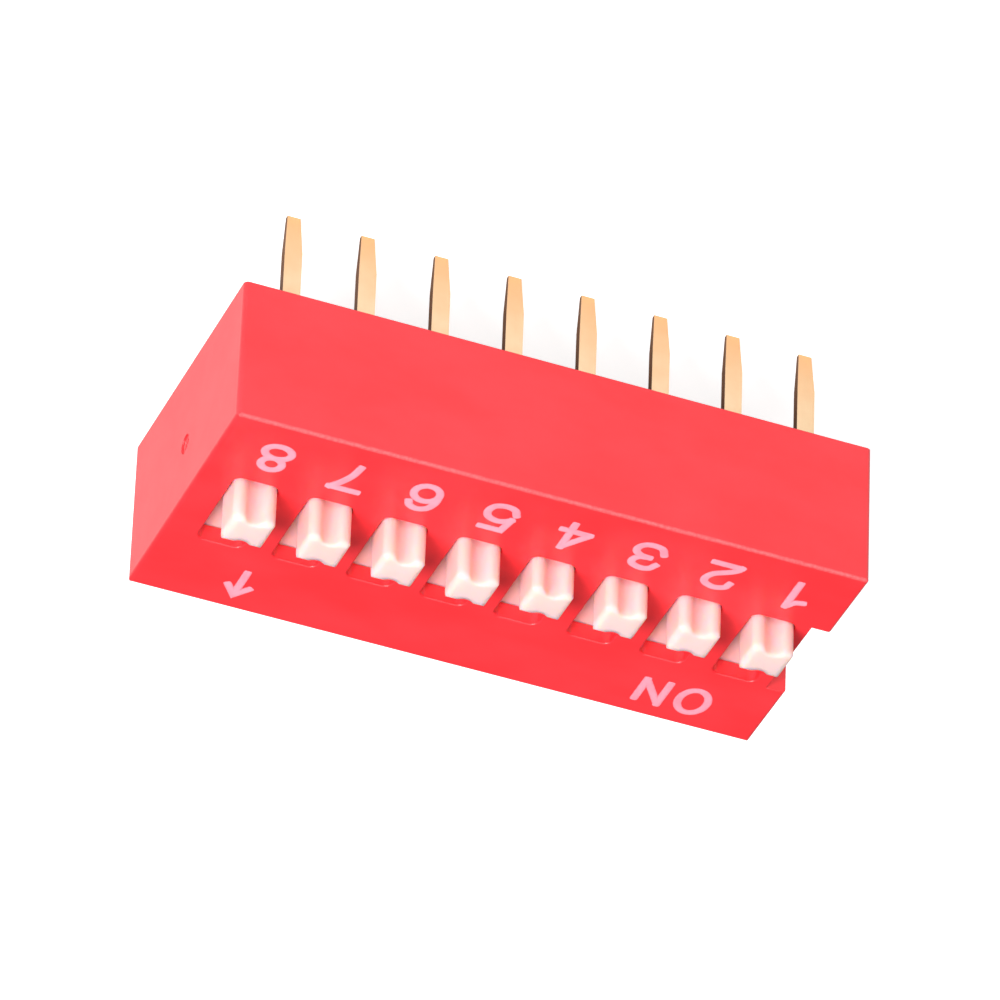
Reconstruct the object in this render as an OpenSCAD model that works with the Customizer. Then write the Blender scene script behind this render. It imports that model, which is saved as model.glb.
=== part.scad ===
// Through-hole slide DIP switch: a row of white knobs in a red cover, over two rows of gold legs.
// Millimetres. z = 0 is the seat plane, where the cover's rim stands on a circuit board.
// Switch 1 is at the -X end, the numbered side is -Y, and a knob slides towards +Y to switch on.
// Every knob is drawn in its off position.

/* [Row] */
// Number of switches in the row
poles = 8; // [2:1:12]
// Distance from one switch to the next
pitch = 2.54; // [2.1:0.01:4]
// Distance between the front and the rear row of legs
row_spacing = 7.62; // [6:0.01:12]
// How far a knob slides from off to on
travel = 2.1; // [1.6:0.05:3]

/* [Cover] */
// Height of the cover above the circuit board
cover_h = 5.25; // [4.3:0.05:8]
// Thickness of the cover's top, which the slots go through
top_wall = 0.6; // [0.4:0.05:1]
// Thickness of the cover's front and rear walls
side_wall = 0.7; // [0.5:0.05:1.5]
// Length of cover past the outer switch's half pitch at each end
end_margin = 0.64; // [0.5:0.01:2]
// Radius of the upright corners
corner_r = 0.16; // [0.05:0.01:0.5]
// Radius of the top edges
edge_r = 0.13; // [0.05:0.01:0.4]
// Radius of the slots' upper rims
rim_r = 0.07; // [0.02:0.01:0.12]
// Width of the notch that marks the end of switch 1
notch_w = 3.7; // [1:0.1:5]
// Depth of that notch
notch_d = 0.68; // [0.2:0.01:0.7]
// Radius of the moulding gate's mark on the other end
gate_r = 0.34; // [0.1:0.01:0.6]
// Depth of the gate's mark
gate_d = 0.05; // [0.02:0.01:0.1]
// Height of the gate's mark above the seat plane
gate_z = 3.1; // [1:0.05:4]

/* [Knob] */
// Width of a knob along the row
knob_w = 1.45; // [1:0.05:1.7]
// Depth of a knob along its travel
knob_d = 1.4; // [0.9:0.05:1.8]
// Height above the cover of the knobs in the first half of the row
knob_h = 1.25; // [0.8:0.01:2]
// How much higher the knobs in the second half of the row stand
knob_step = 0.22; // [0:0.01:0.4]
// Draft of a knob's sides, from the plate to the top
knob_draft = 0.01; // [0:0.01:0.1]
// Radius of a knob's upright corners
knob_corner_r = 0.24; // [0.05:0.01:0.3]
// Radius of a knob's top edges
knob_edge_r = 0.2; // [0.05:0.01:0.35]
// Radius of the groove up the middle of a knob's front and rear
groove_r = 0.34; // [0.2:0.01:0.5]
// Depth of that groove
groove_d = 0.25; // [0.05:0.01:0.3]
// Radius of the groove's two lips
lip_r = 0.25; // [0.1:0.01:0.3]

/* [Shuttle under the cover] */
// Width of the shuttle along the row
shuttle_w = 1.9; // [1.8:0.05:2]
// Thickness of the shuttle's plate
plate_t = 0.75; // [0.5:0.05:1]
// How far the plate still laps under the cover past the open end of the slot
plate_lap = 0.17; // [0.1:0.01:0.5]
// Thickness of the shuttle's two skirts
skirt_t = 0.25; // [0.15:0.01:0.35]
// Depth of the wiper's pocket in the underside of the plate
pocket_d = 0.25; // [0.1:0.01:0.35]
// Radius of the stud that holds the wiper
stud_r = 0.2; // [0.1:0.01:0.25]
// Radius of the stud's staked head
stake_r = 0.32; // [0.26:0.01:0.4]
// Thickness of the staked head
stake_t = 0.1; // [0.05:0.01:0.2]

/* [Wiper] */
// Width of the spring strip
wiper_w = 0.9; // [0.6:0.05:1.1]
// Thickness of the spring strip
wiper_t = 0.12; // [0.06:0.01:0.16]
// Height of the pressed spring, from its flat back to its contact points
wiper_h = 1.48; // [1.2:0.01:2]
// Half the length of the flat back between the end bends
wiper_back = 1.95; // [1.5:0.05:2.3]
// Outer radius of the end bends
bend_r = 0.45; // [0.3:0.01:0.55]
// Distance of each contact point from the middle of the shuttle
contact_y = 1; // [0.8:0.05:1.2]
// Outer radius of the contact points
contact_r = 0.26; // [0.18:0.01:0.35]
// Angle at which the tips turn up past the contact points
tip_angle = 48; // [20:1:60]
// Length of the tips
tip_len = 0.22; // [0.1:0.01:0.35]
// Width of the slit that parts each arm into two fingers
slit_w = 0.14; // [0.08:0.01:0.3]

/* [Terminals] */
// Thickness of the terminal strip
strip_t = 0.3; // [0.2:0.01:0.35]
// Inner radius of the bend from pad to leg
strip_r = 0.15; // [0.08:0.01:0.3]
// Width of the contact pad
pad_w = 1.2; // [0.9:0.05:1.25]
// Insulating gap between the front and the rear pad
pad_gap = 0.7; // [0.4:0.05:0.9]
// How far a pad reaches past a contact point's stop
pad_margin = 0.35; // [0.25:0.01:0.5]
// Radius of the detent valleys pressed into the pads
valley_r = 0.4; // [0.3:0.01:0.8]
// Depth of the detent valleys
valley_d = 0.05; // [0.02:0.01:0.1]
// Height of a terminal's wide part, from the pad's face to its shoulders
shoulder_h = 1; // [0.7:0.05:1.2]
// Width of a leg
leg_w = 0.6; // [0.55:0.01:0.8]
// Length of a leg below the seat plane
leg_len = 3.93; // [2.5:0.01:5]
// Width of a leg's end
tip_w = 0.45; // [0.2:0.01:0.5]
// How much thinner a leg's end is, pressed in from its outer face
tip_thinning = 0.14; // [0.02:0.01:0.15]
// Length over which a leg tapers to its end
taper_len = 1.5; // [0.4:0.05:2]

/* [Base and potting] */
// Plastic left outside the legs, to the cover's inner wall
base_wall = 0.29; // [0.25:0.005:0.8]
// Thickness of the potting under the base
potting_t = 0.5; // [0.3:0.01:0.6]
// How far above the cover's rim plane the potting's edge ends on the walls
potting_recess = 0.12; // [0.05:0.01:0.3]
// Radius of the fillet with which the potting climbs the walls
meniscus_r = 0.16; // [0.05:0.01:0.18]
// Thickness of the potting at the very edge of that fillet
potting_lip = 0.03; // [0.02:0.01:0.1]

/* [Clearances] */
// Between the shuttle and the cover, on each side and above
run_gap = 0.03; // [0.02:0.01:0.1]
// Between a knob and the long sides of its slot
slot_side_gap = 0.04; // [0.02:0.01:0.1]
// Between a knob and the end of its slot, at each stop
slot_end_gap = 0.03; // [0.02:0.01:0.1]
// Between the shuttle and the cover's inner wall, at each stop
shuttle_end_gap = 0.1; // [0.05:0.01:0.3]
// Between a contact point and the pad that it runs on
contact_gap = 0.02; // [0.01:0.01:0.05]
// Between the wiper and its pocket and stud
wiper_gap = 0.05; // [0.02:0.01:0.08]
// Between the staked head and the wiper
stake_gap = 0.02; // [0.01:0.01:0.05]
// Between a terminal and its channel in the base
channel_gap = 0.02; // [0.01:0.01:0.04]
// Between the base and the cover
fit_gap = 0.03; // [0.01:0.01:0.1]
// Between the potting and what it runs against
potting_gap = 0.01; // [0.01:0.01:0.03]

/* [Hidden] */
$fn = 48;
CUT = 1;         // how far a cutting shape runs past the face that it cuts
LAP = 0.001;     // how far an arc laps a face or arc that it would only touch, to leave a sound edge

// Along the row
cavity_w = shuttle_w + 2 * run_gap;
row_half = (poles - 1) / 2 * pitch + cavity_w / 2;
cover_l = poles * pitch + 2 * end_margin;
slot_w = knob_w + 2 * slot_side_gap;

// Along the travel
slot_l = knob_d + travel + 2 * slot_end_gap;
slot_corner_r = knob_corner_r + slot_side_gap;
plate_half = slot_l / 2 + travel / 2 + plate_lap;
shuttle_reach = plate_half + travel / 2 + shuttle_end_gap;
leg_outer = row_spacing / 2 + strip_t / 2;
room_half = max(shuttle_reach, leg_outer + base_wall);
cover_w = 2 * (room_half + side_wall);
rest_y = -travel / 2;
valley_y = travel / 2 + contact_y;
front_pad_end = abs(travel / 2 - contact_y) + pad_margin;
rear_pad_end = front_pad_end + pad_gap;

// Upwards
ceiling_z = cover_h - top_wall;
plate_top = ceiling_z - run_gap;
plate_bottom = plate_top - plate_t;
wiper_top = plate_bottom + pocket_d;
pad_z = wiper_top - wiper_h - contact_gap;
base_bottom = potting_recess + potting_t;

function x_of(i) = (i - (poles + 1) / 2) * pitch;
function knob_top(i) = cover_h + knob_h + (i > poles / 2 ? knob_step : 0);
function dir(a) = [cos(a), sin(a)];
function names(word) = [for (i = [1 : poles]) str(word, "_", i)];

// A profile drawn in Y and Z, carried along X and centred on it
module along_x(length) {
    rotate([90, 0, 90])
        linear_extrude(length, center = true)
            children();
}

// A profile drawn in X and Z, carried along Y and centred on it
module along_y(length) {
    rotate([90, 0, 0])
        linear_extrude(length, center = true)
            children();
}

// Rectangle centred on the origin, with round corners
module round_rectangle(w, d, r) {
    square([w, d - 2 * r], center = true);
    square([w - 2 * r, d], center = true);
    for (x = [-1, 1], y = [-1, 1])
        translate([x * (w / 2 - r), y * (d / 2 - r)])
            circle(r);
}

// Upright profile on the line z = 0, narrower by draft at each side of its top, with round top corners
module crowned(w, h, r, draft = 0) {
    lean = atan2(draft, h);
    out = dir(lean);
    top_half = w / 2 - draft;
    cy = h - r;
    cx = (out * [top_half, h] - r - out[1] * cy) / out[0];
    side = [cx, cy] + (r - (draft > 0 ? LAP : 0)) * out;
    polygon([[-w / 2, 0], [w / 2, 0], side, [cx, h], [-cx, h], [-side[0], side[1]]]);
    for (s = [-1, 1])
        translate([s * cx, cy])
            circle(r);
}

// Half profile of a mouth that opens upwards through z = 0 with a round rim, from its middle line
// to the given reach
module flared_half(reach, r) {
    difference() {
        translate([0, -r])
            square([reach + r, r + CUT]);
        translate([reach + r, -r])
            circle(r);
    }
}

// The same mouth on both sides of its middle line
module flared(w, r) {
    difference() {
        translate([-w / 2 - r, -r])
            square([w + 2 * r, r + CUT]);
        for (s = [-1, 1])
            translate([s * (w / 2 + r), -r])
                circle(r);
    }
}

// Everything right of and below a round corner of radius r about the origin, as far as run and drop
module elbow(r, run, drop) {
    circle(r);
    translate([-r, -drop])
        square([r + run, drop]);
    translate([0, -drop])
        square([run, drop + r]);
}

// Outside of the cover: three rounded profiles crossed
module cover_block() {
    intersection() {
        linear_extrude(cover_h)
            round_rectangle(cover_l, cover_w, corner_r);
        along_x(cover_l)
            crowned(cover_w, cover_h, edge_r);
        along_y(cover_w)
            crowned(cover_l, cover_h, edge_r);
    }
}

// One knob's slot through the cover's top, with round corners and a round rim
module slot() {
    corner_x = slot_w / 2 - slot_corner_r;
    corner_y = slot_l / 2 - slot_corner_r;
    translate([0, 0, ceiling_z - CUT / 2])
        linear_extrude(top_wall + CUT)
            round_rectangle(slot_w, slot_l, slot_corner_r);
    translate([0, 0, cover_h]) {
        along_x(2 * corner_x)
            flared(slot_l, rim_r);
        along_y(2 * corner_y)
            flared(slot_w, rim_r);
        for (x = [-1, 1], y = [-1, 1])
            translate([x * corner_x, y * corner_y, 0])
                rotate_extrude()
                    flared_half(slot_corner_r, rim_r);
    }
}

// Red moulded shell: open below, one room for each shuttle between ribs that stand on the base
module cover() {
    color("crimson")
        difference() {
            cover_block();
            translate([-row_half, -room_half, -CUT])
                cube([2 * row_half, 2 * room_half, pad_z + CUT]);
            for (i = [1 : poles]) {
                translate([x_of(i) - cavity_w / 2, -room_half, pad_z - CUT / 2])
                    cube([cavity_w, 2 * room_half, ceiling_z - pad_z + CUT / 2]);
                translate([x_of(i), 0, 0])
                    slot();
            }
            translate([-cover_l / 2 - CUT, -notch_w / 2, -CUT])
                cube([CUT + notch_d, notch_w, cover_h + 2 * CUT]);
            translate([cover_l / 2 - gate_d, 0, gate_z])
                rotate([0, 90, 0])
                    cylinder(h = CUT, r = gate_r);
        }
}

// Groove up the middle of a knob's face: a round cut, opened to the face between two round lips.
// A lip's circle touches both the cut and the face, and the opening starts just inside the cut.
module groove_cut() {
    reach = groove_r + lip_r;
    lip = [sqrt(groove_d * (2 * reach - groove_d)), knob_d / 2 - lip_r];
    centre = [0, knob_d / 2 + groove_r - groove_d];
    inside = lip + (centre - lip) * (lip_r + groove_r / 4) / reach;
    difference() {
        union() {
            translate(centre)
                circle(groove_r);
            polygon([
                [-lip[0], lip[1]], [-inside[0], inside[1]], inside, lip,
                [lip[0], knob_d / 2 + CUT], [-lip[0], knob_d / 2 + CUT]
            ]);
        }
        for (s = [-1, 1])
            translate([s * lip[0], lip[1]])
                circle(lip_r + LAP);
    }
}

// The knob of switch i, from inside the plate to its top
module knob(i) {
    foot = plate_top - plate_t / 2;
    h = knob_top(i) - foot;
    translate([0, 0, foot])
        intersection() {
            linear_extrude(h)
                difference() {
                    round_rectangle(knob_w, knob_d, knob_corner_r);
                    groove_cut();
                    mirror([0, 1])
                        groove_cut();
                }
            along_x(knob_w)
                crowned(knob_d, h, knob_edge_r, knob_draft);
            along_y(knob_d)
                crowned(knob_w, h, knob_edge_r, knob_draft);
        }
}

// White shuttle of switch i: knob, plate, two skirts that straddle the wiper, and its staked stud
module actuator(i) {
    pocket_half = wiper_back + bend_r + wiper_gap;
    skirt_bottom = pad_z + run_gap;
    stud_h = wiper_t + stake_gap;
    color("white")
        translate([x_of(i), rest_y, 0]) {
            knob(i);
            difference() {
                translate([-shuttle_w / 2, -plate_half, skirt_bottom])
                    cube([shuttle_w, 2 * plate_half, plate_top - skirt_bottom]);
                translate([-shuttle_w / 2 + skirt_t, -plate_half - CUT, skirt_bottom - CUT])
                    cube([shuttle_w - 2 * skirt_t, 2 * (plate_half + CUT), plate_bottom - skirt_bottom + CUT]);
                translate([-wiper_w / 2 - wiper_gap, -pocket_half, plate_bottom - CUT])
                    cube([wiper_w + 2 * wiper_gap, 2 * pocket_half, pocket_d + CUT]);
            }
            translate([0, 0, wiper_top - stud_h])
                cylinder(h = stud_h + pocket_d, r = stud_r);
            translate([0, 0, wiper_top - stud_h - stake_t])
                cylinder(h = stake_t, r = stake_r);
        }
}

// Half of the wiper's side profile, filled in to its middle: back, end bend, sloping arm, contact
// point and turned-up tip. The arm is the common tangent under the bend and the contact point.
// inset is 0 for the strip's outer face and wiper_t for its inner face, which is cut out of it.
module wiper_half(inset) {
    bend_c = [wiper_back, -bend_r];
    contact_c = [contact_y, contact_r - wiper_h];
    gap = contact_c - bend_c;
    arm_n = dir(atan2(gap[1], gap[0]) + acos((bend_r - contact_r) / norm(gap)));
    tip_n = dir(-90 - tip_angle);
    tip_run = tip_len * [-cos(tip_angle), sin(tip_angle)];
    tip_foot = contact_c + (contact_r - inset) * tip_n;
    tip_inner = contact_c + (contact_r - wiper_t) * tip_n + tip_run;
    middle = [-wiper_t, inset > 0 ? tip_inner[1] : -2 * wiper_t];
    polygon([
        middle, tip_inner, tip_foot + tip_run, tip_foot,
        contact_c, contact_c + (contact_r - inset) * arm_n,
        bend_c + (bend_r - inset) * arm_n, bend_c,
        [wiper_back, -inset], [-wiper_t, -inset]
    ]);
    translate(bend_c)
        circle(bend_r - inset);
    translate(contact_c)
        circle(contact_r - inset);
}

// Gold-plated spring of switch i, staked under the shuttle, with two fingers in each arm
module wiper(i) {
    color("gold")
        translate([x_of(i), rest_y, wiper_top])
            difference() {
                for (m = [0, 1])
                    mirror([0, m, 0])
                        along_x(wiper_w)
                            difference() {
                                wiper_half(0);
                                wiper_half(wiper_t);
                            }
                translate([0, 0, -wiper_t - CUT / 2])
                    cylinder(h = wiper_t + CUT, r = stud_r + wiper_gap / 2);
                translate([-slit_w / 2, -wiper_back, -wiper_h - CUT])
                    cube([slit_w, 2 * wiper_back, wiper_h + CUT - bend_r]);
            }
}

// Side profile of a terminal, from its leg's outer face inwards and from its pad's face down.
// A gap widens it all round, for the channel in the base.
module strap(pad_end, depth, gap = 0) {
    r = strip_r + strip_t;
    translate([r, -r])
        difference() {
            elbow(r + gap, pad_end - r, depth - r);
            elbow(strip_r - gap, pad_end - r + CUT, depth - r + CUT);
        }
}

// Front outline of a terminal: wide to its shoulders, then a leg that tapers to its end
module leg_outline() {
    foot = pad_z + leg_len;
    polygon([
        [-pad_w / 2, 0], [pad_w / 2, 0],
        [pad_w / 2, -shoulder_h], [leg_w / 2, -shoulder_h],
        [leg_w / 2, -foot + taper_len], [tip_w / 2, -foot],
        [-tip_w / 2, -foot], [-leg_w / 2, -foot + taper_len],
        [-leg_w / 2, -shoulder_h], [-pad_w / 2, -shoulder_h]
    ]);
}

// Detent valley across a pad, where a contact point stops
module valley(y) {
    translate([0, y, pad_z + valley_r - valley_d])
        along_x(pad_w + CUT)
            circle(valley_r);
}

// Wedge pressed off the outer face of a leg, towards its end
module coined_wedge() {
    translate([0, -leg_outer, -leg_len])
        along_x(pad_w)
            polygon([
                [-CUT, -CUT], [tip_thinning, -CUT], [tip_thinning, 0],
                [0, taper_len], [-CUT, taper_len]
            ]);
}

// A terminal on the -Y side whose pad ends at the given y, with valleys at the given places
module terminal(pad_end, valleys) {
    color("gold")
        difference() {
            intersection() {
                translate([0, -leg_outer, pad_z])
                    along_x(pad_w)
                        strap(pad_end + leg_outer, pad_z + leg_len);
                translate([0, 0, pad_z])
                    along_y(4 * leg_outer)
                        leg_outline();
            }
            for (y = valleys)
                valley(y);
            coined_wedge();
        }
}

// Front terminal of switch i, which the wiper rests on at off and on
module terminal_front(i) {
    translate([x_of(i), 0, 0])
        terminal(front_pad_end, [-valley_y, 0]);
}

// Rear terminal of switch i, which the wiper reaches only at on
module terminal_rear(i) {
    translate([x_of(i), 0, 0])
        mirror([0, 1, 0])
            terminal(-rear_pad_end, [-valley_y]);
}

// Room for a terminal in the base: its channel, its wide slot and its leg's slot
module channel(pad_end) {
    intersection() {
        translate([0, -leg_outer, pad_z])
            along_x(pad_w + 2 * channel_gap) {
                strap(pad_end + leg_outer + channel_gap, pad_z, channel_gap);
                translate([-channel_gap, -strip_t])
                    square([pad_end + leg_outer + 2 * channel_gap, strip_t + CUT]);
            }
        translate([0, 0, pad_z])
            along_y(4 * leg_outer) {
                translate([-pad_w / 2 - channel_gap, -shoulder_h])
                    square([pad_w + 2 * channel_gap, shoulder_h + CUT]);
                translate([-leg_w / 2 - channel_gap, -pad_z - CUT])
                    square([leg_w + 2 * channel_gap, pad_z + CUT]);
            }
    }
}

// Black moulded base that closes the cover and holds the terminals flush with its top
module base() {
    half_l = row_half - fit_gap;
    half_w = room_half - fit_gap;
    color("dimgray")
        difference() {
            translate([-half_l, -half_w, base_bottom])
                cube([2 * half_l, 2 * half_w, pad_z - base_bottom]);
            for (i = [1 : poles])
                translate([x_of(i), 0, 0]) {
                    channel(front_pad_end);
                    mirror([0, 1, 0])
                        channel(-rear_pad_end);
                }
        }
}

// Epoxy poured into the cover under the base: it seals the legs and climbs the walls a little
module potting() {
    half_l = row_half - potting_gap;
    half_w = room_half - potting_gap;
    hollow_l = 2 * (half_l - potting_lip);
    hollow_w = 2 * (half_w - potting_lip);
    hollow_h = potting_recess + meniscus_r;
    leg_hole = [leg_w + 2 * potting_gap, strip_t + 2 * potting_gap];
    color("goldenrod")
        difference() {
            translate([-half_l, -half_w, potting_recess])
                cube([2 * half_l, 2 * half_w, potting_t]);
            intersection() {
                along_x(hollow_l)
                    crowned(hollow_w, hollow_h, meniscus_r);
                along_y(hollow_w)
                    crowned(hollow_l, hollow_h, meniscus_r);
            }
            for (i = [1 : poles], s = [-1, 1])
                translate([x_of(i), s * row_spacing / 2, -CUT])
                    linear_extrude(base_bottom + 2 * CUT)
                        square(leg_hole, center = true);
        }
}

cover();
base();
potting();
for (i = [1 : poles]) {
    actuator(i);
    wiper(i);
    terminal_front(i);
    terminal_rear(i);
}
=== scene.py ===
"""Looks for an eight-pole slide DIP switch: red moulded cover, white knobs, gold-plated legs.

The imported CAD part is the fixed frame. Everything here is in metres, in that frame: z = 0 is the
plane on which the cover stands, switch 1 is at the -X end and the numbered side is -Y.
"""

import math

import bpy
import numpy as np
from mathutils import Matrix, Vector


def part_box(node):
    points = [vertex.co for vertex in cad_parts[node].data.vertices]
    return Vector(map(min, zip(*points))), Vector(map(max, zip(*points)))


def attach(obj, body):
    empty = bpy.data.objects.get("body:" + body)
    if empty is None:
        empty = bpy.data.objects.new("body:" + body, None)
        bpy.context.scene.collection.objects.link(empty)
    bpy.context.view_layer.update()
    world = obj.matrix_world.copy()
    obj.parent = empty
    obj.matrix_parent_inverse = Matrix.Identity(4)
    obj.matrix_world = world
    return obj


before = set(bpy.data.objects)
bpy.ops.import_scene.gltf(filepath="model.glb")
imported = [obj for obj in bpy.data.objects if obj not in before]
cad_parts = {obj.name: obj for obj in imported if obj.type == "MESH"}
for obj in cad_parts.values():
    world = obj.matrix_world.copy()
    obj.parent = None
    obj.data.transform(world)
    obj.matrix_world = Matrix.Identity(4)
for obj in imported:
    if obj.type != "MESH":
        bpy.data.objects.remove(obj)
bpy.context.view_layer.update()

# ------------------------------------------------------------------------------------------------
# Studio: a long lens above the numbered side, rolled half a turn so that the legs point up. They
# stand on a pale floor in a dim white room. A soft key lamp stands off the corner of switch 8, a
# wide fill lamp faces the numbered side, and an upright strip draws the light band along its edge.
# ------------------------------------------------------------------------------------------------
MM = 0.001                                                              # metres in a millimetre
CAMERA_AZIMUTH, CAMERA_ELEVATION, CAMERA_ROLL = 20.724, 36.056, 182.269     # degrees
CAMERA_DISTANCE = 329.33 * MM
CAMERA_TARGET = np.array([-0.304, 0.913, 1.321]) * MM
CAMERA_LENS, CAMERA_SENSOR = 367.63, 36.0                                   # millimetres
CLIP_START, CLIP_END = 0.01, 10.0                                           # metres
ROOM_LEVEL = 0.10           # strength of the white room on the object
MIRRORED_LEVEL = 0.22       # strength of the room and the floor's glow in reflections
FLOOR_GREY = (0.60, 0.60, 0.60, 1)
FLOOR_GLOW = 0.86           # added for the camera, so that the lit floor reads white
FLOOR_RADIUS = 0.6          # metres
FLOOR_GAP = 0.01 * MM       # under the ends of the legs


def aim(obj, target, azimuth, elevation, distance, roll=0.0):
    """Places a camera or lamp at that azimuth, from -Y towards +X, elevation and distance from the
    target, facing it: rolled about its own axis, then tilted about X, then turned about Z."""
    tilt, turn, roll = math.radians(90 - elevation), math.radians(azimuth), math.radians(roll)
    about_x = np.array([[1, 0, 0],
                        [0, math.cos(tilt), -math.sin(tilt)],
                        [0, math.sin(tilt), math.cos(tilt)]])

    def about_z(angle):
        return np.array([[math.cos(angle), -math.sin(angle), 0],
                         [math.sin(angle), math.cos(angle), 0],
                         [0, 0, 1]])

    matrix = np.eye(4)
    matrix[:3, :3] = about_z(turn) @ about_x @ about_z(roll)
    matrix[:3, 3] = target + distance * matrix[:3, 2]
    bpy.context.scene.collection.objects.link(obj)
    obj.matrix_world = matrix.T.tolist()
    return obj


lens = bpy.data.cameras.new("camera")
lens.lens, lens.sensor_width = CAMERA_LENS, CAMERA_SENSOR
lens.clip_start, lens.clip_end = CLIP_START, CLIP_END
bpy.context.scene.camera = aim(bpy.data.objects.new("camera", lens), CAMERA_TARGET,
                               CAMERA_AZIMUTH, CAMERA_ELEVATION, CAMERA_DISTANCE, CAMERA_ROLL)
bpy.context.scene.view_settings.view_transform = "Standard"


def soft_lamp(name, azimuth, elevation, distance, width, height, watts):
    """Soft box of that width and height that faces the middle of the object."""
    lamp = bpy.data.lights.new(name, "AREA")
    lamp.shape, lamp.size, lamp.size_y, lamp.energy = "RECTANGLE", width, height, watts
    aim(bpy.data.objects.new(name, lamp), np.zeros(3), azimuth, elevation, distance)


soft_lamp("key_lamp", azimuth=54, elevation=43, distance=0.30,
          width=0.14, height=0.14, watts=1.16)
soft_lamp("fill_lamp", azimuth=-5, elevation=44, distance=0.35,
          width=0.30, height=0.30, watts=0.42)
soft_lamp("strip_lamp", azimuth=-26, elevation=55, distance=0.35,
          width=0.06, height=0.80, watts=0.30)


def add(tree, kind, links=None, **values):
    """Adds one shader node: values set its properties, or its sockets by name, and links join its
    inputs to other nodes' outputs."""
    node = tree.nodes.new("ShaderNode" + kind)
    for key, value in values.items():
        if hasattr(node, key):
            setattr(node, key, value)
        else:
            node.inputs[key.replace("_", " ")].default_value = value
    for socket, source in (links or {}).items():
        tree.links.new(source, node.inputs[socket])
    return node


def feed(tree, node, values):
    """Gives inputs of a node, by index, their values: sockets are linked, and the rest are set."""
    for index, value in values:
        if hasattr(value, "is_output"):
            tree.links.new(value, node.inputs[index])
        else:
            node.inputs[index].default_value = value


def math_node(tree, operation, a, b=0.5, clamp=False):
    """Output of one Math node; a and b are numbers or sockets."""
    node = tree.nodes.new("ShaderNodeMath")
    node.operation, node.use_clamp = operation, clamp
    feed(tree, node, ((0, a), (1, b)))
    return node.outputs[0]


def ramp(tree, value, low, high, to_low=0.0, to_high=1.0, smooth=False):
    """Output of a Map Range node from low..high to to_low..to_high, clamped."""
    node = add(tree, "MapRange", {"Value": value}, From_Min=low, From_Max=high,
               To_Min=to_low, To_Max=to_high)
    if smooth:
        node.interpolation_type = "SMOOTHSTEP"
    return node.outputs[0]


def new_material(name, **values):
    """Node material with a Principled shader whose constant sockets take the values given."""
    material = bpy.data.materials.new(name)
    material.use_nodes = True
    tree = material.node_tree
    tree.nodes.clear()
    shader = add(tree, "BsdfPrincipled", **values)
    output = tree.nodes.new("ShaderNodeOutputMaterial")
    tree.links.new(shader.outputs[0], output.inputs["Surface"])
    return material, tree, shader


def glow(tree, lit, seen):
    """Strength of a white glow: lit on the object, seen by the camera and through clear plastic,
    and at least the mirrored level in reflections."""
    path = add(tree, "LightPath")
    direct = math_node(tree, "MAXIMUM", path.outputs["Is Camera Ray"],
                       path.outputs["Is Transmission Ray"])
    return math_node(tree, "MAXIMUM", ramp(tree, direct, 0, 1, lit, seen),
                     ramp(tree, path.outputs["Is Glossy Ray"], 0, 1, 0.0, MIRRORED_LEVEL))


def white_room():
    """Even room, dim on the object, and full white where the camera sees it."""
    world = bpy.data.worlds.new("white_room")
    bpy.context.scene.world = world
    world.use_nodes = True
    tree = world.node_tree
    tree.nodes.clear()
    room = add(tree, "Background", {"Strength": glow(tree, ROOM_LEVEL, 1.0)}, Color=(1, 1, 1, 1))
    output = tree.nodes.new("ShaderNodeOutputWorld")
    tree.links.new(room.outputs[0], output.inputs["Surface"])


white_room()


def pale_floor(height):
    """Round floor: a polar grid whose rings spread as the square of their number. It glows for the
    camera and a little in reflections, so that it reads white and still keeps the object's shadow,
    and is not seen from below."""
    rings, turns = 12, 72
    r = FLOOR_RADIUS * (np.arange(1, rings + 1) / rings) ** 2
    t = 2 * np.pi * np.arange(turns) / turns
    ring_points = np.stack([np.outer(r, np.cos(t)), np.outer(r, np.sin(t)),
                            np.full((rings, turns), height)], -1).reshape(-1, 3)
    points = np.vstack([ring_points, [[0, 0, height]]])
    grid = np.arange(rings * turns).reshape(rings, turns)
    inner, outer = grid[:-1], grid[1:]
    quads = np.stack([inner, outer, np.roll(outer, -1, 1), np.roll(inner, -1, 1)], -1)
    middle = np.stack([np.full(turns, rings * turns), grid[0], np.roll(grid[0], -1)], -1)
    mesh = bpy.data.meshes.new("floor")
    mesh.from_pydata(points.tolist(), [], quads.reshape(-1, 4).tolist() + middle.tolist())
    floor = bpy.data.objects.new("floor", mesh)
    bpy.context.scene.collection.objects.link(floor)

    material, tree, shader = new_material("pale_floor", Base_Color=FLOOR_GREY, Roughness=0.9,
                                          Specular_IOR_Level=0.0, Emission_Color=(1, 1, 1, 1))
    tree.links.new(glow(tree, 0.0, FLOOR_GLOW), shader.inputs["Emission Strength"])
    below = add(tree, "NewGeometry").outputs["Backfacing"]
    clear = add(tree, "BsdfTransparent")
    two_sided = add(tree, "MixShader", {0: below, 1: shader.outputs[0], 2: clear.outputs[0]})
    output = [n for n in tree.nodes if n.bl_idname == "ShaderNodeOutputMaterial"][0]
    tree.links.new(two_sided.outputs[0], output.inputs["Surface"])
    mesh.materials.append(material)


pale_floor(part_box("terminal_front_1")[0].z - FLOOR_GAP)


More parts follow.
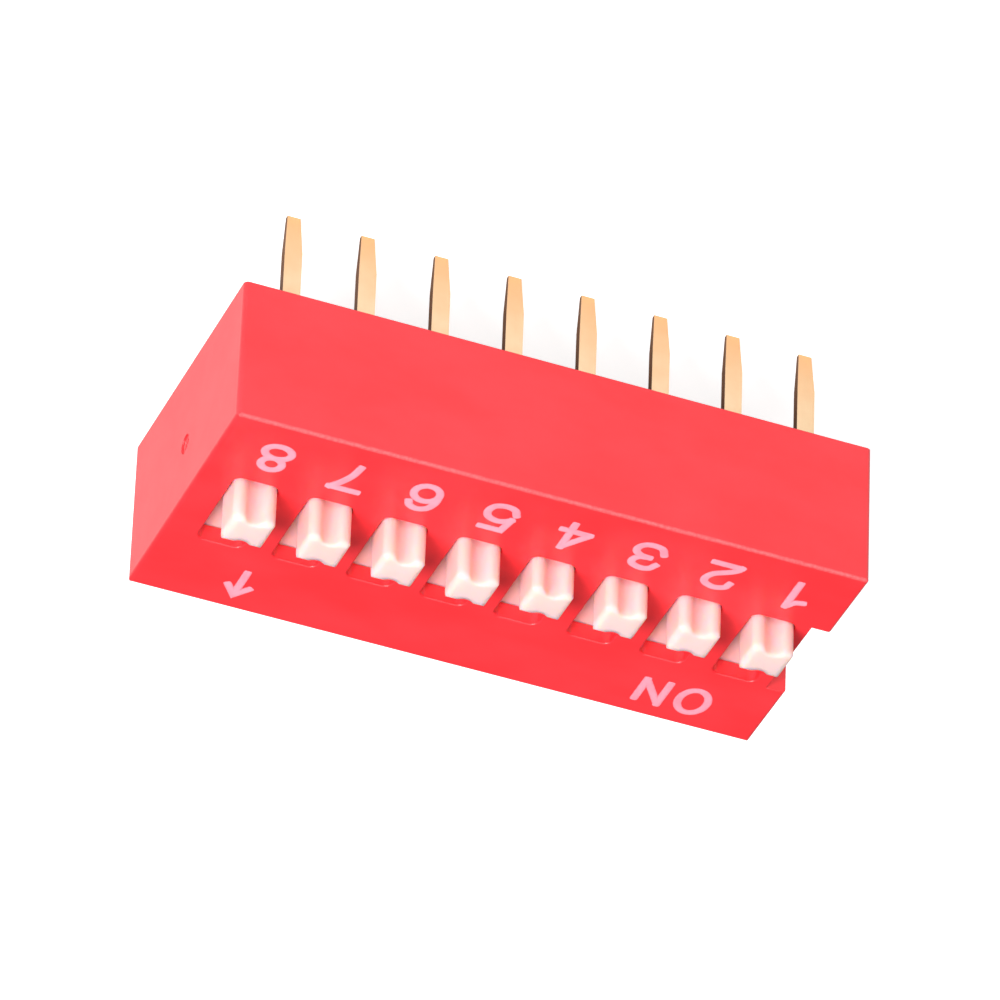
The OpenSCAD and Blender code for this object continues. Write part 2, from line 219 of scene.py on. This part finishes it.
# ------------------------------------------------------------------------------------------------
# Terminals and wipers: phosphor-bronze strip, rolled, punched and bent, then flash-plated with
# gold. The rolled faces carry fine lengthwise lines, and the punched edges are rough, with painted
# shade that makes them dark brown.
# ------------------------------------------------------------------------------------------------
GOLD = (1.0, 0.78, 0.50, 1)
GOLD_DEEP = (0.97, 0.69, 0.41, 1)
GOLD_TIP = (0.95, 0.55, 0.27, 1)
# dark brown: painted shade on the punched edges, standing in for dark reflections along the legs'
# sides
PUNCHED_SHADE = (0.20, 0.095, 0.045, 1)
WORN_GOLD = (1.0, 0.74, 0.50, 1)
ROLLED_LINES = (16000, 16000, 350)      # noise cells a metre: across the strip twice, and along it
CLOUDS = 1100.0                         # noise cells a metre of the plating's tone
TIP_TONE_HEIGHTS = (-1.2 * MM, -4.0 * MM)       # heights between which the gold deepens towards its tip tone down a leg
PUNCHED_FACES = (0.80, 0.95)            # how far along the row a face looks: plated, then punched
GOLD_MATT, PUNCHED_MATT = (0.30, 0.40), 0.25    # roughness of the plating, and more on its edges


def mixed(tree, factor, a, b):
    """Output of a colour Mix node; factor, a and b are sockets, colours or a number."""
    node = tree.nodes.new("ShaderNodeMix")
    node.data_type = "RGBA"
    feed(tree, node, ((0, factor), (6, a), (7, b)))
    return node.outputs[2]


def edge_wear_and_highlight_group():
    """Mask of worn edges and of a painted highlight band, broken up by noise: worn where the
    rounded normal turns from the true one, and the painted highlight where the true one looks both
    across the row and up, as it does on the long rounded edges. The band starts at the given
    distance, in metres, from the middle of the row."""
    tree = bpy.data.node_groups.new("edge_wear_and_highlight", "ShaderNodeTree")
    for name, value in (("Radius", 0.05 * MM), ("Amount", 1.0), ("Break Up", 9000.0),
                        ("Fillets", 0.0), ("Fillets From", 0.0)):
        tree.interface.new_socket(name, in_out="INPUT",
                                  socket_type="NodeSocketFloat").default_value = value
    tree.interface.new_socket("Mask", in_out="OUTPUT", socket_type="NodeSocketFloat")
    inside = tree.nodes.new("NodeGroupInput")
    outside = tree.nodes.new("NodeGroupOutput")
    rounded = add(tree, "Bevel", {"Radius": inside.outputs["Radius"]}, samples=6)
    true = add(tree, "NewGeometry")
    dot = add(tree, "VectorMath", {0: rounded.outputs[0], 1: true.outputs["Normal"]},
              operation="DOT_PRODUCT")
    turned = ramp(tree, dot.outputs["Value"], 0.995, 0.80, 0.0, 1.0)
    place = add(tree, "TexCoord")
    looks = add(tree, "VectorMath", {0: place.outputs["Normal"]}, operation="ABSOLUTE")
    axes = add(tree, "SeparateXYZ", {0: looks.outputs[0]}).outputs
    # painted highlight band along the long rounded edges, where the true normal looks across the
    # row and up
    leaning = math_node(tree, "MULTIPLY", ramp(tree, axes["Y"], 0.10, 0.40),
                        ramp(tree, axes["Z"], 0.10, 0.40))
    leaning = math_node(tree, "MULTIPLY", leaning, inside.outputs["Fillets"])
    across = add(tree, "SeparateXYZ", {0: place.outputs["Object"]}).outputs["Y"]
    far = math_node(tree, "GREATER_THAN", math_node(tree, "ABSOLUTE", across),
                    inside.outputs["Fillets From"])
    leaning = math_node(tree, "MULTIPLY", leaning, far)
    turned = math_node(tree, "MAXIMUM", turned, leaning)
    chips = add(tree, "TexNoise", {"Vector": place.outputs["Object"],
                                   "Scale": inside.outputs["Break Up"]}, Detail=3.0)
    broken = ramp(tree, chips.outputs["Fac"], 0.35, 0.65, 0.35, 1.0)
    mask = math_node(tree, "MULTIPLY", turned, broken)
    mask = math_node(tree, "MULTIPLY", mask, inside.outputs["Amount"], clamp=True)
    tree.links.new(mask, outside.inputs["Mask"])
    return tree


def place_group(tree, group, **values):
    """Puts a shader node group in a material, with this material's own values."""
    node = tree.nodes.new("ShaderNodeGroup")
    node.node_tree = group
    for key, value in values.items():
        node.inputs[key.replace("_", " ")].default_value = value
    return node


edge_wear_and_highlight = edge_wear_and_highlight_group()


def gold_material():
    """Plated strip. Its punched edges are the faces that look along the row, made dark brown with
    painted shade, and the gold turns deeper and redder towards the ends of the legs."""
    material, tree, shader = new_material("gold_plate")
    place = add(tree, "TexCoord")
    stretched = add(tree, "Mapping", {"Vector": place.outputs["Object"]}, Scale=ROLLED_LINES)
    rolled = add(tree, "TexNoise", {"Vector": stretched.outputs[0]}, Scale=1.0, Detail=3.0)
    clouds = add(tree, "TexNoise", {"Vector": place.outputs["Object"]}, Scale=CLOUDS, Detail=4.0)
    looks = add(tree, "SeparateXYZ", {0: place.outputs["Normal"]})
    punched_and_shaded = ramp(tree, math_node(tree, "ABSOLUTE", looks.outputs["X"]), *PUNCHED_FACES)
    edge_mask = place_group(tree, edge_wear_and_highlight, Radius=0.03 * MM, Amount=0.8, Break_Up=14000.0)
    tone = mixed(tree, ramp(tree, clouds.outputs["Fac"], 0.3, 0.7), GOLD, GOLD_DEEP)
    tone = mixed(tree, ramp(tree, rolled.outputs["Fac"], 0.55, 0.8, 0.0, 0.35), tone, GOLD_DEEP)
    height = add(tree, "SeparateXYZ", {0: place.outputs["Object"]}).outputs["Z"]
    tone = mixed(tree, ramp(tree, height, *TIP_TONE_HEIGHTS), tone, GOLD_TIP)
    tone = mixed(tree, edge_mask.outputs["Mask"], tone, WORN_GOLD)
    # painted shade: the punched edges darkened to brown
    tone = mixed(tree, punched_and_shaded, tone, PUNCHED_SHADE)
    tree.links.new(tone, shader.inputs["Base Color"])
    tree.links.new(ramp(tree, punched_and_shaded, 0, 1, 0.95, 0.6), shader.inputs["Metallic"])
    matt = math_node(tree, "ADD", ramp(tree, clouds.outputs["Fac"], 0.3, 0.7, *GOLD_MATT),
                     math_node(tree, "MULTIPLY", punched_and_shaded, PUNCHED_MATT))
    tree.links.new(matt, shader.inputs["Roughness"])
    bump = add(tree, "Bump", {"Height": rolled.outputs["Fac"]}, Strength=0.5, Distance=0.004 * MM)
    tree.links.new(bump.outputs[0], shader.inputs["Normal"])
    return material


def finish_nodes(prefixes, material):
    """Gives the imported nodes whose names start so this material."""
    for name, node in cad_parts.items():
        if name.startswith(prefixes):
            for index in range(len(node.data.materials)):
                node.data.materials[index] = material


finish_nodes(("terminal_", "wiper_"), gold_material())


# ------------------------------------------------------------------------------------------------
# Base: black glass-filled polyester, moulded with a channel for each terminal. It is matt, with
# glass fibres that show as short grey flecks.
# ------------------------------------------------------------------------------------------------
BLACK = (0.020, 0.020, 0.022, 1)
FIBRE = (0.060, 0.060, 0.062, 1)
WAVES = 260.0                       # noise cells a metre of the waviness
WAVE_DEPTH = 0.06 * MM
RUB_LINES = (500.0, 26000.0, 9000.0)    # noise cells a metre: along a hairline rub, and across it
RUB_SHARE = 0.12                    # how far a rub pales the colour
RUB_MATT = 0.02                     # how much rougher a rub is
MATT_BELOW, MATT_ABOVE = 0.03, 0.04     # how far a finish's roughness wanders below and above
SHADE_FADE = 0.15 * MM              # height over which the painted slot shade fades out


def moulded_group():
    """Surface of a moulded plastic: fine spark-eroded grain, slow mottling along the flow, faint
    waviness where the wall sank, and sparse hairline rubs."""
    tree = bpy.data.node_groups.new("moulded_surface", "ShaderNodeTree")
    for name, value in (("Grain Scale", 22000.0), ("Mottle Scale", 500.0)):
        tree.interface.new_socket(name, in_out="INPUT",
                                  socket_type="NodeSocketFloat").default_value = value
    for name in ("Grain", "Mottle", "Waviness", "Rubs"):
        tree.interface.new_socket(name, in_out="OUTPUT", socket_type="NodeSocketFloat")
    inside = tree.nodes.new("NodeGroupInput")
    outside = tree.nodes.new("NodeGroupOutput")
    place = add(tree, "TexCoord").outputs["Object"]
    grain = add(tree, "TexNoise", {"Vector": place, "Scale": inside.outputs["Grain Scale"]},
                Detail=2.0)
    along = add(tree, "Mapping", {"Vector": place}, Scale=(0.55, 1.0, 1.0))
    mottle = add(tree, "TexNoise", {"Vector": along.outputs[0],
                                    "Scale": inside.outputs["Mottle Scale"]}, Detail=4.0)
    waves = add(tree, "TexNoise", {"Vector": place}, Scale=WAVES, Detail=1.0)
    turned = add(tree, "Mapping", {"Vector": place}, Rotation=(0.3, 0.2, 0.9), Scale=RUB_LINES)
    rubs = add(tree, "TexNoise", {"Vector": turned.outputs[0]}, Scale=1.0, Detail=2.0)
    tree.links.new(grain.outputs["Fac"], outside.inputs["Grain"])
    tree.links.new(ramp(tree, mottle.outputs["Fac"], 0.25, 0.75, smooth=True),
                   outside.inputs["Mottle"])
    tree.links.new(waves.outputs["Fac"], outside.inputs["Waviness"])
    tree.links.new(ramp(tree, rubs.outputs["Fac"], 0.71, 0.80), outside.inputs["Rubs"])
    return tree


moulded = moulded_group()


def plastic(name, colour, pale, edge, matt, grain_depth, rounding, edge_radius, edge_amount,
            mottle_share, highlight_band=0.0, highlight_band_from=0.0, slot_shade=None, **shader_values):
    """Moulded plastic: mottled between its colour and a paler one, paler still at its edges: worn
    edges, and where asked a painted highlight band along long rounded edges. It has soft edges, and
    grain and waviness as bump. A slot shade is a colour and the height, in metres, below which the
    plastic takes it on: painted shade and painted red reflection from the slot around it."""
    material, tree, shader = new_material(name, **shader_values)
    surface = place_group(tree, moulded)
    edge_mask = place_group(tree, edge_wear_and_highlight, Radius=edge_radius, Amount=edge_amount, Fillets=highlight_band,
                       Fillets_From=highlight_band_from)
    mottle, rubs = surface.outputs["Mottle"], surface.outputs["Rubs"]
    tone = mixed(tree, ramp(tree, mottle, 0, 1, 0.0, mottle_share), colour, pale)
    tone = mixed(tree, ramp(tree, rubs, 0, 1, 0.0, RUB_SHARE), tone, pale)
    # paler edges: wear, and where asked a painted highlight band
    tone = mixed(tree, edge_mask.outputs["Mask"], tone, edge)
    # painted shade and painted red reflection of the slot, below a height
    if slot_shade:
        shade_colour, shade_top = slot_shade
        place = add(tree, "TexCoord")
        height = add(tree, "SeparateXYZ", {0: place.outputs["Object"]}).outputs["Z"]
        shaded_below = ramp(tree, height, shade_top + SHADE_FADE, shade_top)
        tone = mixed(tree, shaded_below, tone, shade_colour)
    tree.links.new(tone, shader.inputs["Base Color"])
    rough = ramp(tree, mottle, 0, 1, matt - MATT_BELOW, matt + MATT_ABOVE)
    rough = math_node(tree, "ADD", rough, ramp(tree, rubs, 0, 1, 0.0, RUB_MATT))
    tree.links.new(rough, shader.inputs["Roughness"])
    soft = add(tree, "Bevel", Radius=rounding, samples=6)
    waves = add(tree, "Bump", {"Height": surface.outputs["Waviness"], "Normal": soft.outputs[0]},
                Strength=0.6, Distance=WAVE_DEPTH)
    grain = add(tree, "Bump", {"Height": surface.outputs["Grain"], "Normal": waves.outputs[0]},
                Strength=0.6, Distance=grain_depth)
    tree.links.new(grain.outputs[0], shader.inputs["Normal"])
    return material


finish_nodes(("base",), plastic("glass_filled_black", BLACK, FIBRE, FIBRE, matt=0.55,
                                grain_depth=0.004 * MM, rounding=0.03 * MM,
                                edge_radius=0.04 * MM, edge_amount=0.5, mottle_share=0.6))


# ------------------------------------------------------------------------------------------------
# Shuttles: white acetal, each a knob on a plate in one piece. Acetal is waxy and lets some light
# through. Each plate is painted darker and pinker below the cover's face: painted shade and painted
# red reflection from the slot that it slides in. Acetal is waxy and lets some light
# through, and each plate has rubbed a little red off the cover that it slides under.
# ------------------------------------------------------------------------------------------------
ACETAL = (0.95, 0.60, 0.57, 1)
ACETAL_PALE = (0.97, 0.66, 0.64, 1)
# painted shade and painted red reflection on the plates, from the slot walls they slide between
ACETAL_SLOT_SHADE = (0.94, 0.50, 0.48, 1)
SLOT_SHADE_FROM = 0.1 * MM              # below the cover's outer face, where the painted slot shade starts

finish_nodes(("actuator_",), plastic("white_acetal", ACETAL, ACETAL_PALE, ACETAL_PALE, matt=0.58,
                                     grain_depth=0.001 * MM, rounding=0.22 * MM,
                                     edge_radius=0.05 * MM, edge_amount=0.1, mottle_share=0.5,
                                     Subsurface_Weight=0.9, Subsurface_Scale=1.3 * MM,
                                     Subsurface_Radius=(0.6, 0.5, 0.24), IOR=1.46,
                                     Specular_IOR_Level=0.25,
                                     slot_shade=(ACETAL_SLOT_SHADE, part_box("cover")[1].z - SLOT_SHADE_FROM)))


# ------------------------------------------------------------------------------------------------
# Cover: red polyester moulded in one shot, glossy on all sides, with a notch that marks the end of
# switch 1 and the stub of the moulding gate on the other end.
# ------------------------------------------------------------------------------------------------
RED = (0.92, 0.026, 0.035, 1)
RED_PALE = (0.95, 0.056, 0.072, 1)
# edge colour of the cover: partly wear, partly a painted highlight along the rounded top edges and
# slot rims
RED_EDGE_WEAR_AND_HIGHLIGHT = (0.95, 0.11, 0.12, 1)
TOP_EDGE_BAND = 0.3 * MM            # from a side, inwards, that holds the round top edge with its wear and painted highlight band
GATE_Z, GATE_DEPTH = 3.1 * MM, 0.05 * MM    # height of the gate's mark, and how deep its floor lies
STUB_RADIUS, STUB_HEIGHT = 0.19 * MM, 0.042 * MM
STUB_FOOT = 0.01 * MM               # how far the stub reaches into the cover

# its paler edges are partly wear and partly painted highlight
cover_red = plastic("cover_red", RED, RED_PALE, RED_EDGE_WEAR_AND_HIGHLIGHT, matt=0.32, grain_depth=0.001 * MM,
                    rounding=0.05 * MM, edge_radius=0.05 * MM, edge_amount=0.45,
                    mottle_share=0.4, highlight_band=2.0,
                    highlight_band_from=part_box("cover")[1].y - TOP_EDGE_BAND, IOR=1.52)
finish_nodes(("cover",), cover_red)


def new_piece(name, points, faces, material, body, smooth=True):
    """Mesh piece made from arrays of points and faces, in place, that rides on the body."""
    mesh = bpy.data.meshes.new(name)
    mesh.from_pydata(points.tolist(), [], faces)
    mesh.validate()
    mesh.materials.append(material)
    mesh.polygons.foreach_set("use_smooth", [smooth] * len(mesh.polygons))
    piece = bpy.data.objects.new(name, mesh)
    bpy.context.scene.collection.objects.link(piece)
    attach(piece, body)
    return piece


def gate_stub():
    """Torn stub in the gate's mark: a dome whose height falls with the cube of the distance from
    its middle. Rim and height wander with the angle as a few sines, and a flat back closes it."""
    rings, turns = 8, 28
    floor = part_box("cover")[1].x - GATE_DEPTH
    s = np.linspace(0, 1, rings)[1:, None]
    t = (2 * np.pi * np.arange(turns) / turns)[None, :]
    wander = 1 + 0.16 * np.sin(2 * t + 0.6) + 0.09 * np.sin(5 * t + 1.1)
    rise = STUB_HEIGHT * (1 - s ** 3) * (1 + 0.25 * s * np.sin(3 * t)
                                         + 0.2 * s * np.sin(7 * t + 2))
    rise[-1] = -STUB_FOOT
    y = STUB_RADIUS * s * wander * np.cos(t)
    z = GATE_Z + STUB_RADIUS * s * wander * np.sin(t)
    points = np.stack([floor + rise, y, z], -1).reshape(-1, 3)
    top, back = len(points), len(points) + 1
    points = np.vstack([points, [[floor + STUB_HEIGHT, 0, GATE_Z], [floor - STUB_FOOT, 0, GATE_Z]]])
    grid = np.arange((rings - 1) * turns).reshape(rings - 1, turns)
    after = np.roll(grid, -1, 1)
    faces = np.stack([grid[:-1], grid[1:], after[1:], after[:-1]], -1).reshape(-1, 4).tolist()
    faces += [[top, a, b] for a, b in zip(grid[0], after[0])]
    faces += [[back, b, a] for a, b in zip(grid[-1], after[-1])]
    faces = [[int(i) for i in face] for face in faces]
    new_piece("gate_stub", points, faces, cover_red, "housing")


gate_stub()


# ------------------------------------------------------------------------------------------------
# Printing: the numbers, the word ON and an arrow that points to the on side, pad-printed on the
# cover in white ink. The film is a few microns thick, and the red shows through it.
# ------------------------------------------------------------------------------------------------
INK = (1.0, 0.36, 0.46, 1)
INK_THIN = (0.95, 0.18, 0.24, 1)
STROKE = 0.268 * MM         # width of a stroke
FILM = 0.010 * MM           # thickness of the ink at the middle of a stroke
FILM_RIM = 0.002 * MM       # thickness at its sides
FILM_FOOT = 0.01 * MM       # how far its closed back reaches into the cover
FILM_STEP = 0.0008 * MM     # how much higher each stroke of a sign lies
END_REACH = (0.28, 0.42, 0.5)       # where a rounded end narrows, in strokes from the path's end
END_WIDTH = (0.62, 0.88, 0.98)      # and its width there, from the tip inwards
CAP = 1.28                  # height between the middles of the top and the bottom strokes, in mm
NUMBER_Y = -3.25 * MM
WORD_X, ARROW_X, WORD_Y = -7.52 * MM, 7.46 * MM, 3.56 * MM


def smooth_path(points, steps=8):
    """Catmull-Rom curve through the points, as an array of the points on it."""
    p = np.array(points, float)
    p = np.vstack([2 * p[0] - p[1], p, 2 * p[-1] - p[-2]])
    t = np.linspace(0, 1, steps, endpoint=False)[:, None, None]
    a, b, c, d = p[:-3], p[1:-2], p[2:-1], p[3:]
    curve = 0.5 * (2 * b + (c - a) * t + (2 * a - 5 * b + 4 * c - d) * t ** 2
                   + (3 * b - a - 3 * c + d) * t ** 3)
    return np.vstack([curve.transpose(1, 0, 2).reshape(-1, 2), p[-2]])


def ring(x, y, rx, ry, turns=40):
    """Closed ellipse about (x, y)."""
    t = 2 * np.pi * np.arange(turns) / turns
    return np.column_stack([x + rx * np.cos(t), y + ry * np.sin(t)])


def bead(path, closed):
    """One stroke of ink along a path: a domed section, whose height falls with the fourth power of
    the distance from its middle, carried along the path with mitred turns. Its ends are rounded by
    narrowing the section over their last bit. Returns points, faces and the section's position."""
    path = np.array(path, float)
    if not closed:
        for end, inner in ((0, 1), (-1, -2)):
            step = path[end] - path[inner]
            step = step / np.linalg.norm(step)
            extra = path[end] + np.outer(END_REACH, step) * STROKE
            path = np.vstack([extra[::-1], path]) if end == 0 else np.vstack([path, extra])
    ahead = np.roll(path, -1, 0) - path
    behind = path - np.roll(path, 1, 0)
    if not closed:
        ahead[-1], behind[0] = behind[-1], ahead[0]
    ahead /= np.linalg.norm(ahead, axis=1, keepdims=True)
    behind /= np.linalg.norm(behind, axis=1, keepdims=True)
    left = np.column_stack([-ahead[:, 1] - behind[:, 1], ahead[:, 0] + behind[:, 0]])
    left /= (1 + (ahead * behind).sum(1))[:, None]
    width = np.ones(len(path))
    if not closed:
        width[:3] = width[:-4:-1] = END_WIDTH
    across = np.array([-1, -0.92, -0.75, -0.4, 0, 0.4, 0.75, 0.92, 1, 1, -1.0])
    lift = FILM * (1 - across ** 4) + FILM_RIM
    lift[-2:] = -FILM_FOOT
    sideways = across[None, :, None] * (STROKE / 2) * width[:, None, None] * left[:, None, :]
    flat = path[:, None, :] + sideways
    lifts = np.broadcast_to(lift[None, :, None], flat.shape[:2] + (1,))
    points = np.concatenate([flat, lifts], -1)
    rows, columns = points.shape[:2]
    grid = np.arange(rows * columns).reshape(rows, columns)
    if closed:
        grid = np.vstack([grid, grid[:1]])
    after = np.roll(grid, -1, 1)
    faces = np.stack([grid[:-1], grid[1:], after[1:], after[:-1]], -1).reshape(-1, 4).tolist()
    if not closed:
        faces += [grid[0].tolist(), grid[-1][::-1].tolist()]
    edge = np.broadcast_to(np.abs(across)[None, :], (rows, columns)).ravel()
    return points.reshape(-1, 3), faces, edge


def ink_material():
    """Thin white ink over red: its edge, and spots in it where the pad lifted, let red through."""
    material, tree, shader = new_material("print_ink", Specular_IOR_Level=0.35)
    place = add(tree, "TexCoord")
    spots = add(tree, "TexNoise", {"Vector": place.outputs["Object"]}, Scale=9000.0, Detail=4.0)
    cloud = add(tree, "TexNoise", {"Vector": place.outputs["Object"]}, Scale=1500.0, Detail=2.0)
    edge = add(tree, "Attribute", attribute_name="edge").outputs["Fac"]
    frayed = math_node(tree, "ADD", edge, math_node(tree, "MULTIPLY", spots.outputs["Fac"], 0.8))
    thin = math_node(tree, "MAXIMUM", ramp(tree, frayed, 0.95, 1.65),
                     ramp(tree, cloud.outputs["Fac"], 0.45, 0.75, 0.0, 0.45))
    tree.links.new(mixed(tree, thin, INK, INK_THIN), shader.inputs["Base Color"])
    rough = ramp(tree, spots.outputs["Fac"], 0.3, 0.7, 0.35, 0.5)
    tree.links.new(rough, shader.inputs["Roughness"])
    bump = add(tree, "Bump", {"Height": spots.outputs["Fac"]}, Strength=0.5, Distance=0.003 * MM)
    tree.links.new(bump.outputs[0], shader.inputs["Normal"])
    return material


ink = ink_material()


def printed(name, x, y, strokes):
    """Prints a sign centred on (x, y): each stroke is (path in mm, closed), and lies a little above
    the one before, so that no two films share a face where they cross."""
    points, faces, edges, count = [], [], [], 0
    for path, closed in strokes:
        p, f, e = bead(np.asarray(path, float) * MM, closed)
        p[:, 2] += FILM_STEP * len(points)
        points.append(p)
        edges.append(e)
        faces += [[i + count for i in face] for face in f]
        count += len(p)
    points = np.vstack(points) + [x, y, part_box("cover")[1].z]
    piece = new_piece(name, points, faces, ink, "housing", smooth=False)
    attribute = piece.data.attributes.new("edge", "FLOAT", "POINT")
    attribute.data.foreach_set("value", np.concatenate(edges).astype(np.float32))


TOP, LOW = CAP / 2, -CAP / 2
NUMERALS = {
    1: [([(0.03, LOW), (0.03, TOP)], False),
        (smooth_path([(-0.44, 0.30), (-0.20, 0.38), (0.0, TOP)]), False)],
    2: [(smooth_path([(-0.43, 0.30), (-0.34, 0.53), (0.0, TOP), (0.35, 0.50), (0.41, 0.24),
                      (0.24, -0.04), (-0.12, -0.26), (-0.38, -0.46), (-0.47, LOW)]), False),
        ([(-0.46, LOW), (0.46, LOW)], False)],
    3: [(smooth_path([(-0.42, 0.34), (-0.28, 0.57), (0.0, TOP), (0.32, 0.52), (0.37, 0.30),
                      (0.22, 0.10), (-0.08, 0.04)]), False),
        (smooth_path([(-0.08, 0.04), (0.22, 0.0), (0.43, -0.16), (0.44, -0.38), (0.27, -0.58),
                      (0.0, LOW), (-0.31, -0.56), (-0.46, -0.30)]), False)],
    4: [([(0.19, LOW), (0.19, TOP)], False),
        ([(0.15, 0.58), (-0.45, -0.24)], False),
        ([(-0.45, -0.27), (0.47, -0.27)], False)],
    5: [([(0.40, TOP), (-0.29, TOP), (-0.41, 0.0)], False),
        (smooth_path([(-0.41, 0.0), (-0.20, 0.15), (0.06, 0.19), (0.36, 0.06), (0.46, -0.22),
                      (0.33, -0.52), (0.0, LOW), (-0.32, -0.56), (-0.46, -0.32)]), False)],
    6: [(ring(0.02, -0.23, 0.42, 0.41), True),
        (smooth_path([(-0.40, -0.20), (-0.40, 0.14), (-0.26, 0.50), (0.05, TOP), (0.32, 0.54),
                      (0.41, 0.36)]), False)],
    7: [([(-0.46, TOP), (0.46, TOP)], False),
        (smooth_path([(0.44, TOP), (0.17, 0.28), (-0.04, -0.16), (-0.13, LOW)]), False)],
    8: [(ring(0.0, 0.33, 0.34, 0.31), True),
        (ring(0.0, -0.31, 0.44, 0.33), True)],
}
for number, strokes in NUMERALS.items():
    low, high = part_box(f"actuator_{number}")
    printed(f"numeral_{number}", (low.x + high.x) / 2, NUMBER_Y, strokes)

printed("word_on", WORD_X, WORD_Y, [
    (ring(-0.74, 0.0, 0.48, TOP), True),
    ([(0.28, LOW + 0.04), (0.28, TOP - 0.04)], False),
    ([(1.08, LOW + 0.08), (1.08, TOP - 0.08)], False),
    ([(0.32, TOP - 0.10), (1.04, LOW + 0.14)], False),
])
printed("arrow_on", ARROW_X, WORD_Y, [
    ([(0.0, LOW), (0.0, TOP - 0.1)], False),
    ([(-0.36, 0.16), (0.0, TOP), (0.36, 0.16)], False),
])


# ------------------------------------------------------------------------------------------------
# Potting: amber epoxy poured under the base. It is glossy and a little clear, and holds small
# bubbles near its face.
# ------------------------------------------------------------------------------------------------
EPOXY = (0.30, 0.135, 0.035, 1)
EPOXY_DARK = (0.13, 0.052, 0.016, 1)
BUBBLE = (0.5, 0.3, 0.12, 1)
BUBBLE_RIM, BUBBLE_CORE = 0.16, 0.10    # in cells of the bubbles' pattern, from a cell's middle
BUBBLES = 2600.0                        # cells a metre
SKIN_WAVES = 350.0                      # noise cells a metre
SKIN_DEPTH, PIT_DEPTH = 0.12 * MM, 0.01 * MM


def epoxy_material():
    """Cast resin: clouded colour, pale bubbles, and a skin that flows in slow waves."""
    material, tree, shader = new_material("epoxy", IOR=1.55, Coat_Weight=0.5, Coat_Roughness=0.06)
    place = add(tree, "TexCoord").outputs["Object"]
    cloud = add(tree, "TexNoise", {"Vector": place}, Scale=420.0, Detail=5.0)
    waves = add(tree, "TexNoise", {"Vector": place}, Scale=SKIN_WAVES, Detail=1.0)
    bubbles = add(tree, "TexVoronoi", {"Vector": place}, Scale=BUBBLES)
    bubble = ramp(tree, bubbles.outputs["Distance"], BUBBLE_RIM, BUBBLE_CORE)
    tone = mixed(tree, ramp(tree, cloud.outputs["Fac"], 0.3, 0.7), EPOXY_DARK, EPOXY)
    tone = mixed(tree, math_node(tree, "MULTIPLY", bubble, 0.35), tone, BUBBLE)
    tree.links.new(tone, shader.inputs["Base Color"])
    rough = ramp(tree, cloud.outputs["Fac"], 0.3, 0.7, 0.10, 0.2)
    tree.links.new(rough, shader.inputs["Roughness"])
    skin = add(tree, "Bump", {"Height": waves.outputs["Fac"]}, Strength=0.7, Distance=SKIN_DEPTH)
    pits = add(tree, "Bump", {"Height": bubble, "Normal": skin.outputs[0]},
               Strength=0.4, Distance=PIT_DEPTH, invert=True)
    tree.links.new(pits.outputs[0], shader.inputs["Normal"])
    return material


finish_nodes(("potting",), epoxy_material())
